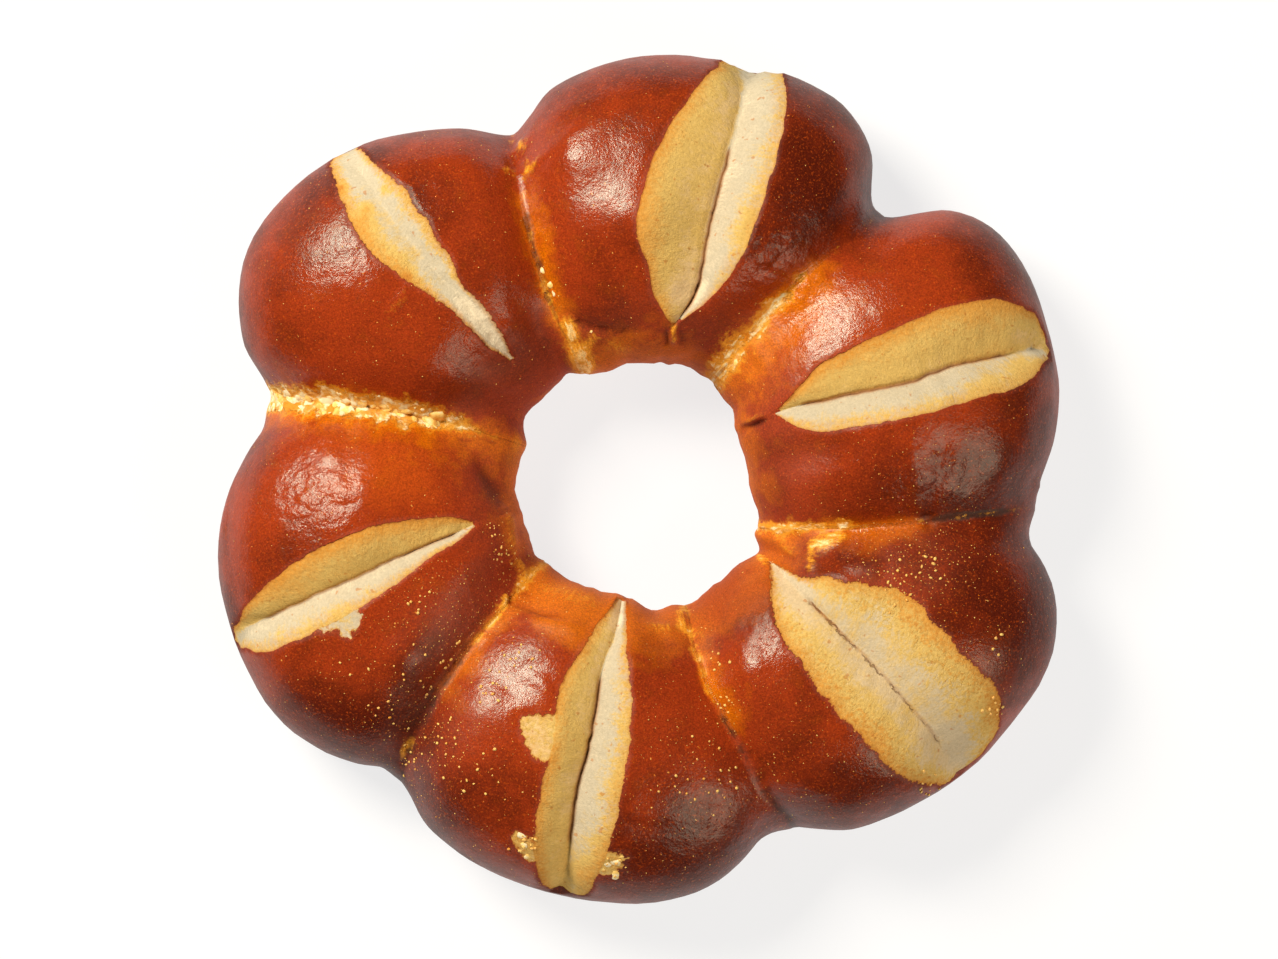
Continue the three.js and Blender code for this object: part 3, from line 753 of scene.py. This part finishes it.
def feed(node, sockets):  # each socket gets a link, a plain value or a colour by its name
    for socket, value in sockets.items():
        if isinstance(value, bpy.types.NodeSocket):
            bench["tree"].links.new(value, node.inputs[socket])
        else:
            colour = (*bake[value], 1) if isinstance(value, str) else value
            node.inputs[socket].default_value = colour


def sums(operation, *values):
    return place("Math", enumerate(values), operation=operation).outputs[0]


def plus(total, *values):
    for value in values:
        total = sums("ADD", total, value)
    return total


def times(total, *values):
    for value in values:
        total = sums("MULTIPLY", total, value)
    return total


def vectors(operation, *values):
    return place("VectorMath", enumerate(values), operation=operation).outputs


def span(value, low, high, toLow=0, toHigh=1):
    limits = enumerate((value, low, high, toLow, toHigh))
    return place("MapRange", limits, interpolation_type="SMOOTHSTEP").outputs[0]


def blend(share, first, second, kind="MIX"):
    return place("Mix", {0: share, 6: first, 7: second}, data_type="RGBA", blend_type=kind).outputs[2]


def coats(colour, *layers):  # each layer: how much of it shows, and its colour
    for share, layer in layers:
        colour = blend(share, colour, layer)
    return colour


def noiseOn(where, scale, detail, rough):
    sockets = {"Vector": where, "Scale": scale, "Detail": detail, "Roughness": rough}
    return place("TexNoise", sockets).outputs[0]


def grain(size, detail=2.0, rough=0.5):  # size in millimetres
    return noiseOn(bench["where"], 1 / (size * mm), detail, rough)


def mark(name):
    return place("Attribute", attribute_name=name).outputs["Fac"]


def seamStrands():  # strands of dough stretched along the seams
    fromAxis = vectors("LENGTH", vectors("MULTIPLY", bench["where"], (1, 1, 0))[0])["Value"]
    stretch = {0: times(mark("seam"), 0.9), 1: times(fromAxis, 0.25 / mm)}
    return noiseOn(place("CombineXYZ", stretch).outputs[0], 1.2, 3, 0.6)


def bakedSkin(patchy, fine, strands, tearEdge, height):  # amber by the seams and the hole, darker far out, with painted shade and painted light over the baked tone
    bakeAndPaintedShade = plus(mark("bakeAndPaintedShade"), span(grain(26, 2), 0.3, 0.7, -0.1, 0.4))
    bakeAndPaintedShade = plus(bakeAndPaintedShade, span(patchy, 0.3, 0.7, -0.12, 0.12), times(mark("outer"), 0.35))
    paleness = plus(mark("glow"), span(patchy, 0.25, 0.75, -0.3, 0.3))
    webbed = times(mark("web"), span(patchy, 0.2, 0.8, 0.4, 1.1))
    pale = times(mark("pale"), span(strands, 0.3, 0.7, 0.45, 1.25))
    pale = plus(pale, span(fine, 0.3, 0.7, -0.15, 0.15))
    # painted shadow in the seams' creases
    paintedCreaseShadow = plus(mark("paintedCreaseShadow"), span(grain(3, 3, 0.6), 0.3, 0.7, -0.2, 0.2))
    # painted shade and painted light: the crust goes towards dark where the shade mark is high and towards
    # lit where it is low, and amber darkens the same way; the fine dark and lit flecks are the crust's own
    crust = coats(
        blend(span(bakeAndPaintedShade, 0, 0.9), "crust", "dark"),
        (span(bakeAndPaintedShade, 0, -0.6, 0, 0.6), "lit"),
        (span(paleness, 0.1, 1.0), blend(span(bakeAndPaintedShade, 0.05, 0.9), "amber", "ember")),
        (span(fine, 0.52, 0.78, 0, 0.45), "dark"),
        (span(grain(0.6, 3, 0.75), 0.53, 0.7, 0, 0.65), "lit"),
        (span(webbed, 0.25, 0.95, 0, 0.8), "web"),
        (span(mark("tanned"), 0.2, 0.9, 0, 0.85), "tanned"),
        (span(pale, 0.1, 0.9), "web"),
        (span(pale, 0.75, 1.35, 0, 0.8), "tornHigh"),
        (span(paintedCreaseShadow, 0.15, 0.7, 0, 0.85), "paintedCreaseShadow"),
    )
    crust = blend(1, crust, span(grain(0.42, 3, 0.7), 0.25, 0.75, 0.66, 1.34), "MULTIPLY")
    nearTear = times(span(tearEdge, -1.6, 0), span(patchy, 0.3, 0.65, 0.25, 0.9))
    return coats(crust, (nearTear, "web"), (span(height, 0.006, 0.0005, 0, 0.8), "base"))


def dusted(crust, patchy, shaking):  # fine crumbs and salt-like specks on the skin
    shaken = vectors("MULTIPLY_ADD", shaking, (0.7 * mm,) * 3, bench["where"])[0]
    specks = place("TexVoronoi", {"Vector": shaken, "Scale": 1 / (0.85 * mm)})
    chance = place("SeparateColor", {0: specks.outputs["Color"]}).outputs
    dusty = plus(mark("dust"), span(patchy, 0.4, 0.7, -0.05, 0.05))
    small = sums("LESS_THAN", specks.outputs["Distance"], span(chance[1], 0.2, 1, 0.06, 0.21))
    speck = times(sums("LESS_THAN", chance[0], dusty), small)
    return blend(speck, crust, blend(chance[2], "amber", "spot"))


def openedScore(patchy, fine, fibre, bare, isPeeled):  # its colour, its baking and its crack
    wall, toastAndPaintedShade = mark("wall"), mark("toastAndPaintedShade")
    baked = plus(span(wall, 0.25, 1.0, -0.25, 0.2), toastAndPaintedShade, span(fibre, 0.25, 0.75, -0.14, 0.14))
    baked = sums("SUBTRACT", baked, times(isPeeled, 0.5))
    baked = plus(baked, span(patchy, 0.3, 0.7, -0.15, 0.15), mark("browningAndPaintedLight"))
    mottle = times(span(grain(1.1, 4, 0.7), 0.42, 0.72, -0.1, 1), span(wall, 0.15, 0.9))
    baked = plus(baked, times(mottle, span(mark("ragged"), 0.25, 1.1, 0.35, 1.1)))

    rim = span(plus(bare, span(patchy, 0.3, 0.7, -1.2, 1.2)), 4.2, 0.2)
    rim = times(sums("MINIMUM", rim, span(wall, 0.45, 0.9)), span(isPeeled, 0, 1, 1, 0.35))
    rim = times(rim, span(grain(0.9, 3, 0.7), 0.35, 0.65, 0.45, 1.1))
    edge = span(plus(bare, span(fine, 0.3, 0.7, -0.25, 0.25)), 0.7, 0.05)
    jagged = span(grain(1.5, 3, 0.7), 0.2, 0.8, -0.45, 0.45)
    # a thin painted shadow line along the deep crack
    split = times(span(sums("ABSOLUTE", plus(mark("across"), jagged)), 0.36, 0.05), mark("split"))
    split = times(split, span(grain(4, 2), 0.36, 0.55, 0.1, 0.65))
    # the straw pale paints light on the browned walls that the key light leaves dim
    crumb = coats(
        blend(span(toastAndPaintedShade, 0.45, 0.62), "cream", "straw"),
        # flour: the pale crumb under peeled skin, and painted light where the crumb turns away from the key
        # light
        (span(baked, -0.1, -0.45), "flour"),
        (span(baked, 0.05, 0.6), "tan"),
        (span(baked, 0.6, 1.4), "golden"),
        (span(baked, 1.3, 2.2, 0, 0.8), "singed"),
        (span(grain(1.7, 1), 0.69, 0.76, 0, 0.55), "singed"),
        (times(rim, span(toastAndPaintedShade, 0, 0.8, 0.3, 0.9)), "rim"),
        (times(edge, span(toastAndPaintedShade, 0, 0.8, 0.4, 0.9)), "singed"),
        (span(mark("crack"), 0.25, 1.0, 0, 0.85), "shadow"),
        (split, "burnt"),
    )
    crumb = blend(1, crumb, span(grain(0.7, 4, 0.75), 0.25, 0.75, 0.88, 1.12), "MULTIPLY")
    return crumb, baked, split


def tornFlanks(strands, tearEdge):  # stretched where the tear is smooth, crumbly where it is lumpy
    crumbling = span(mark("lumpy"), 0.15, 0.6)
    tornGrain = place("Mix", {0: crumbling, 2: strands, 3: grain(2.4, 3, 0.6)}).outputs[0]
    return coats(
        blend(span(tornGrain, 0.3, 0.7), "tornLow", "tornGold"),
        (span(tornGrain, 0.46, 0.62, 0, 0.9), "ivory"),
        (span(grain(3.4, 2), 0.5, 0.62, 0, 0.85), "tornLow"),
        (span(tearEdge, 1.3, 0.1, 0, 0.8), "tornLow"),
    )


def fineSkin(fibreWhere, shaking):  # relief in millimetres, as in every finish
    rumple = mark("rumple")
    crinkle = plus(span(grain(5, 2, 0.5), 0.2, 0.8, 0, 0.07), times(grain(4.5, 2, 0.45), 0.9, rumple))
    gathers = times(noiseOn(fibreWhere, 0.24, 1.5, 0.5), 0.16, plus(mark("gather"), 0.1))
    warped = vectors("MULTIPLY_ADD", shaking, (0.6 * mm,) * 3, bench["where"])[0]
    cells = place("TexVoronoi", {"Vector": warped, "Scale": 1 / (0.9 * mm)}).outputs["Distance"]
    leather = plus(times(span(cells, 0, 0.7), -0.022), times(grain(2.2, 3, 0.6), 0.07))
    pits = times(grain(0.42, 2, 0.6), 0.05)
    return times(plus(crinkle, gathers, plus(leather, pits)), plus(1.1, times(rumple, 0.9)))


def loafFinish():
    material = startFinish("lyeCrust")
    height = place("SeparateXYZ", {0: bench["where"]}).outputs[2]
    patchy, fine = grain(6, 3, 0.6), grain(1.1, 4, 0.65)
    strands = seamStrands()
    fibreWhere = place("CombineXYZ", {0: times(mark("across"), 0.45), 1: mark("along")}).outputs[0]
    fibre = noiseOn(fibreWhere, 1.3, 4, 0.7)  # fibres run from the lips to the crease
    shaking = place("TexNoise", {"Vector": bench["where"], "Scale": 1 / (0.5 * mm), "Detail": 1})
    shaking = shaking.outputs["Color"]

    frayed = times(span(grain(0.9, 3, 0.6), 0.2, 0.8, -0.5, 0.5), mark("ragged"))
    peelEdge = plus(mark("peel"), span(grain(1.4, 3, 0.6), 0.2, 0.8, -0.5, 0.5))
    tearEdge = plus(mark("tear"), span(fine, 0.25, 0.75, -0.9, 0.9))
    bare = sums("MAXIMUM", plus(mark("lip"), frayed), peelEdge)
    isBare, isTorn = span(bare, -0.05, 0.15), span(tearEdge, -0.1, 0.35)
    isPeeled = times(span(peelEdge, 0, 0.4), span(mark("lip"), 0.2, -0.2))
    isOpen = sums("MAXIMUM", isBare, isTorn)
    covered = sums("SUBTRACT", 1, isOpen)

    crust = dusted(bakedSkin(patchy, fine, strands, tearEdge, height), patchy, shaking)
    crumb, baked, split = openedScore(patchy, fine, fibre, bare, isPeeled)
    colour = coats(crust, (isTorn, tornFlanks(strands, tearEdge)), (isBare, crumb))
    rough = plus(
        span(patchy, 0.2, 0.8, 0.15, 0.22),
        span(fine, 0.5, 0.8, 0, 0.1),
        times(mark("matte"), 0.6),
        times(mark("rumple"), 0.05),
        span(bare, -1.6, -0.1, 0, 0.3),
        span(mark("dust"), 0.15, 0.8, 0, 0.3),
        times(isOpen, 0.55),
        span(height, 0.004, 0.0005, 0, 0.4),
    )

    knobbly = times(grain(1.2, 3, 0.6), span(baked, 0.2, 1.2, 0.06, 0.26))
    crumbRelief = plus(times(fibre, 0.17), times(grain(0.45, 2, 0.6), 0.12), knobbly)
    crumbRelief = sums("SUBTRACT", crumbRelief, times(split, 0.35))
    tornCrags = times(grain(1.2, 4, 0.7), span(mark("lumpy"), 0.1, 0.6, 0.45, 0.8))
    tornCrags = plus(tornCrags, times(strands, 0.5))
    relief = plus(
        times(fineSkin(fibreWhere, shaking), covered),
        times(crumbRelief, isBare),
        times(tornCrags, times(isTorn, sums("SUBTRACT", 1, isBare))),
        times(covered, 0.22),  # the skin stands above the open crumb
    )
    bump = place("Bump", {"Height": relief, "Distance": mm, "Strength": 1}).outputs[0]
    gloss = {"Specular IOR Level": bake["gloss"], "Specular Tint": bake["glossTint"]}
    feed(bench["shader"], {"Base Color": colour, "Roughness": rough, "Normal": bump, **gloss})
    return material


loaf.data.materials.append(loafFinish())
print("loaf finished")

# the crumbs, in millimetres; steps: how finely each one is rounded; lift: how far it stands out
crumbs = {
    "count": 2200, "size": (0.06, 0.18), "seed": 12, "lowest": 18, "steepest": 0.25,
    "steps": 1, "squash": 0.6, "lumps": 0.2, "lift": 0.2,
    # bigger crumbs in heaps: place, how many, spread and size
    "heaps": [
        ((-73.7, -45.6), 1, 0.1, 0.75), ((-71.2, -47.2), 1, 0.1, 0.7), ((-28, -90), 26, 1.8, 0.5),
        ((-5.5, -94.8), 22, 1.6, 0.5), ((-33, -18), 22, 3, 0.38), ((-36, -12), 12, 2.5, 0.34),
        ((-53.2, -31), 10, 3, 0.4), ((-28, -42), 14, 3, 0.4), ((-36.5, -52), 14, 4, 0.45),
        ((-48, -64), 14, 3.5, 0.4), ((-56, -70), 16, 3, 0.4), ((63, -23), 30, 7, 0.42),
        ((72, -22), 8, 3, 0.5), ((87, -40), 6, 4, 0.45), ((15, -72), 30, 8, 0.4),
        ((-44.5, -40.5), 6, 1, 0.4), ((-48, -45.5), 6, 1.2, 0.45), ((-52, -52), 6, 1.2, 0.45),
        ((-42, -72), 24, 7, 0.45), ((-58, -52), 24, 8, 0.4), ((88, -57), 14, 1.8, 0.5),
        ((72, -76), 12, 2, 0.45), ((19.6, -45), 8, 2, 0.45), ((22, -56), 8, 2, 0.4),
    ],
}


def readLoaf(seed):  # a spot on each face of the loaf, with what is marked there
    mesh, read = loaf.data, {}
    corners = np.empty(len(mesh.polygons) * 4, int)
    mesh.loops.foreach_get("vertex_index", corners)
    corners = corners.reshape(-1, 4)
    shares = np.random.default_rng(seed).dirichlet([1] * 4, len(corners))
    for name in ("co", "normal", "dust", "lip", "tear", "lumpy"):
        source, wide = (mesh.vertices, 3) if name in ("co", "normal") else (mesh.attributes[name].data, 1)
        values = np.empty(len(mesh.vertices) * wide)
        source.foreach_get(name if wide == 3 else "value", values)
        read[name] = (values.reshape(-1, wide)[corners] * shares[..., None]).sum(1).squeeze()
    read["co"] = read["co"] / mm
    sides = np.empty(len(mesh.polygons))
    mesh.polygons.foreach_get("area", sides)
    read["area"] = sides / mm ** 2
    return read


def nearestSpot(spots, place, usable):
    away = np.hypot(spots["co"][:, 0] - place[0], spots["co"][:, 1] - place[1]) + 99 * (~usable)
    return int(away.argmin())


def sowCrumbs(name, spots, chosen, sizes, look, draw):
    bpy.ops.object.select_all(action="DESELECT")
    bpy.ops.mesh.primitive_ico_sphere_add(subdivisions=look["steps"], radius=1)
    seedling = bpy.context.object
    shape = np.array([vertex.co for vertex in seedling.data.vertices])
    faces = np.array([face.vertices for face in seedling.data.polygons])
    bpy.data.objects.remove(seedling)
    vertices, polygons, tones, paintedLightTops = [], [], [], []
    for number, (index, size) in enumerate(zip(chosen, sizes)):
        up = spots["normal"][index]
        side = np.cross(up, draw.normal(size=3))
        side /= np.linalg.norm(side)
        other = np.cross(up, side)
        lumpy = shape * (1 + look["lumps"] * unevenness(shape, 0.9, number))[:, None]
        lumpy = lumpy * draw.uniform(0.85, 1.15, (len(shape), 1))
        stretch = draw.uniform(0.75, 1.3)
        body = lumpy[:, :1] * side * stretch + lumpy[:, 1:2] * other / stretch
        body = body + lumpy[:, 2:] * up * look["squash"]
        vertices.append(spots["co"][index] + body * size + up * size * look["lift"])
        polygons.append(faces + number * len(shape))
        tones.append(np.full(len(shape), draw.uniform()))
        # each lump's own height, for painted light on its top and painted shade below
        paintedLightTops.append(lumpy[:, 2])
    mesh = bpy.data.meshes.new(name)
    mesh.from_pydata((np.concatenate(vertices) * mm).tolist(), [], np.concatenate(polygons).tolist())
    mesh.attributes.new("tone", "FLOAT", "POINT").data.foreach_set("value", np.concatenate(tones))
    mesh.attributes.new("top", "FLOAT", "POINT").data.foreach_set("value", np.concatenate(paintedLightTops))
    piece = bpy.data.objects.new(name, mesh)
    bpy.context.collection.objects.link(piece)
    bpy.context.view_layer.objects.active = piece
    piece.select_set(True)
    bpy.ops.object.shade_smooth()
    return piece


def makeCrumbs(spots):
    draw = np.random.default_rng(crumbs["seed"])
    upper = (spots["co"][:, 2] > crumbs["lowest"]) & (spots["normal"][:, 2] > crumbs["steepest"])
    likely = np.where(upper & (spots["lip"] < 0), spots["area"] * spots["dust"] ** 1.2, 0)
    chosen = list(draw.choice(len(likely), crumbs["count"], p=likely / likely.sum()))
    sizes = list(draw.uniform(*crumbs["size"], crumbs["count"]) * draw.uniform(0.5, 1.2, crumbs["count"]))
    for place, number, spread, size in crumbs["heaps"]:
        for crumb in range(number):
            wanted = np.array(place) + draw.normal(0, spread / 1.6, 2)
            chosen.append(nearestSpot(spots, wanted, upper))
            sizes.append(size * draw.uniform(0.45, 1.15))
    return sowCrumbs("looseCrumbs", spots, chosen, sizes, crumbs, draw)


tornCrumb = {
    "count": 100, "size": (0.8, 1.5), "seed": 5, "lowest": 15,
    "steps": 2, "squash": 0.32, "lumps": 0.35, "lift": -0.2,
    # single lumps: place and size
    "chunks": [
        ((-23.4, 50.9), 0.9), ((-21.8, 47.4), 1.2), ((-21.4, 46.2), 0.8), ((-13, 36.4), 0.5),
        ((-28.8, -88.4), 1.2), ((-27.6, -90.3), 1.5), ((-26.9, -92.7), 1.3), ((-29.2, -91.2), 0.8),
        ((-26, -94.6), 0.9), ((-6.6, -96.6), 1.5), ((-5, -94.9), 1.4), ((-4.2, -93.2), 0.9),
        ((-7.8, -94.6), 1.2), ((-9, -97), 0.9),
    ],
    "chunksAbove": 12,
}


def makeTornCrumb(spots):
    draw = np.random.default_rng(tornCrumb["seed"])
    height = spots["co"][:, 2]
    likely = np.clip(spots["tear"], 0, 1.5) * (height > tornCrumb["lowest"]) * (spots["lip"] < -1)
    likely = likely * spots["area"] * spots["lumpy"] ** 1.5
    chosen = draw.choice(len(likely), tornCrumb["count"], p=likely / likely.sum())
    sizes = draw.uniform(*tornCrumb["size"], tornCrumb["count"]) ** 2
    sizes = list(sizes * np.clip(0.3 + 0.35 * spots["tear"][chosen], 0.3, 1.4))
    chosen = list(chosen)
    for place, size in tornCrumb["chunks"]:
        chosen.append(nearestSpot(spots, place, height >= tornCrumb["chunksAbove"]))
        sizes.append(size)
    return sowCrumbs("tornLumps", spots, chosen, sizes, tornCrumb, draw)


def crumbFinish(name, palest):
    material = startFinish(name)
    tone = plus(times(mark("tone"), 0.5), span(grain(2.6, 3), 0.3, 0.7, -0.1, 0.6))
    # painted shade low on each lump and painted light on its top
    tone = plus(tone, span(mark("top"), 0.1, 0.9, -0.3, 0.1))
    colour = blend(span(tone, -0.1, 0.4), "tornLow", "tornGold")
    colour = blend(span(tone, 0.4, 0.8), colour, palest)
    bump = place("Bump", {"Height": grain(0.3, 2), "Distance": 0.1 * mm, "Strength": 1}).outputs[0]
    feed(bench["shader"], {"Base Color": colour, "Roughness": bake["crumbRough"], "Normal": bump})
    return material


loafSpots = readLoaf(crumbs["seed"])
looseCrumbs, tornLumps = makeCrumbs(loafSpots), makeTornCrumb(loafSpots)
looseCrumbs.data.materials.append(crumbFinish("crumbDust", "spot"))
tornLumps.data.materials.append(crumbFinish("crumbGrain", "ivory"))
print("crumbs sown", len(looseCrumbs.data.polygons), len(tornLumps.data.polygons))

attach(loaf, "root")
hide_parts("pretzel_ring")
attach(looseCrumbs, "root")
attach(tornLumps, "root")
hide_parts("pretzel_ring")
